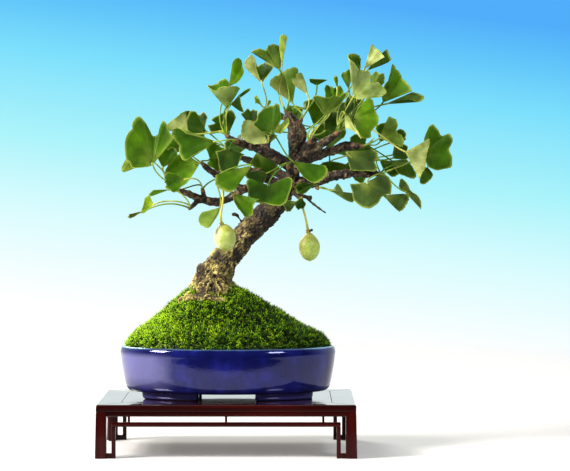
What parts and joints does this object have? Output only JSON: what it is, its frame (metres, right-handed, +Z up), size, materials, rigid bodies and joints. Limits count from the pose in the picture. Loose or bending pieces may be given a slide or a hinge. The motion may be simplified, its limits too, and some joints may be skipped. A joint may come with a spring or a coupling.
{
  "type": "shohin ginkgo bonsai",
  "caption": "Small leaning ginkgo bonsai with fan leaves and naked seeds, on a moss mound in a glazed oval pot, on a low openwork lacquered stand.",
  "frame": {"origin": "on the floor, under the middle of the whole part's bounding box; the pot's centre is about 34 mm to the left of it (-X) and 15 mm in front of it (-Y), because the crown leans to the right and back", "axes": "+Z up, +X to the right of the pictured front, +Y to the back"},
  "size_m": [0.245, 0.1564, 0.2888],
  "materials": {
    "lacquer": "glossy dark red-brown lacquer on hardwood",
    "glaze": "glossy cobalt-blue glaze, thin and pale at the rim",
    "net": "matte dark plastic",
    "soil": "matte grains of fired clay and humus",
    "moss": "soft, dense, bright green moss",
    "bark": "rough flaky bark, tan low on the trunk and darker above",
    "leaf": "satin green leaf, paler below",
    "seed_flesh": "satin yellow-green skin with a faint bloom"
  },
  "bodies": {
    "root": {"drain_net_left": "net", "drain_net_right": "net", "fruit_left": "seed_flesh", "fruit_right": "seed_flesh", "leaves_back_left": "leaf", "leaves_back_left_middle": "leaf", "leaves_back_right": "leaf", "leaves_back_right_middle": "leaf", "leaves_back_top": "leaf", "leaves_back_top_middle": "leaf", "leaves_front_bud": "leaf", "leaves_front_low": "leaf", "leaves_front_trunk": "leaf", "leaves_fruit_right_spur": "leaf", "leaves_left_end": "leaf", "leaves_left_knob": "leaf", "leaves_left_low": "leaf", "leaves_left_middle": "leaf", "leaves_left_upper_bud": "leaf", "leaves_left_upper_end": "leaf", "leaves_middle_spur": "leaf", "leaves_middle_twig": "leaf", "leaves_right_high": "leaf", "leaves_right_knob": "leaf", "leaves_right_low": "leaf", "leaves_right_middle": "leaf", "leaves_right_under": "leaf", "leaves_right_upper": "leaf", "leaves_top": "leaf", "leaves_top_right": "leaf", "moss": "moss", "pot": "glaze", "soil": "soil", "stand_apron_back": "lacquer", "stand_apron_front": "lacquer", "stand_apron_left": "lacquer", "stand_apron_right": "lacquer", "stand_frame_back": "lacquer", "stand_frame_front": "lacquer", "stand_frame_left": "lacquer", "stand_frame_right": "lacquer", "stand_leg_back_left": "lacquer", "stand_leg_back_right": "lacquer", "stand_leg_front_left": "lacquer", "stand_leg_front_right": "lacquer", "stand_panel": "lacquer", "stand_stretcher_back": "lacquer", "stand_stretcher_front": "lacquer", "stand_stretcher_left": "lacquer", "stand_stretcher_right": "lacquer", "stand_strut_back_1": "lacquer", "stand_strut_back_2": "lacquer", "stand_strut_back_3": "lacquer", "stand_strut_front_1": "lacquer", "stand_strut_front_2": "lacquer", "stand_strut_front_3": "lacquer", "stand_strut_left_1": "lacquer", "stand_strut_right_1": "lacquer", "tree_wood": "bark"}
  },
  "joints": []
}
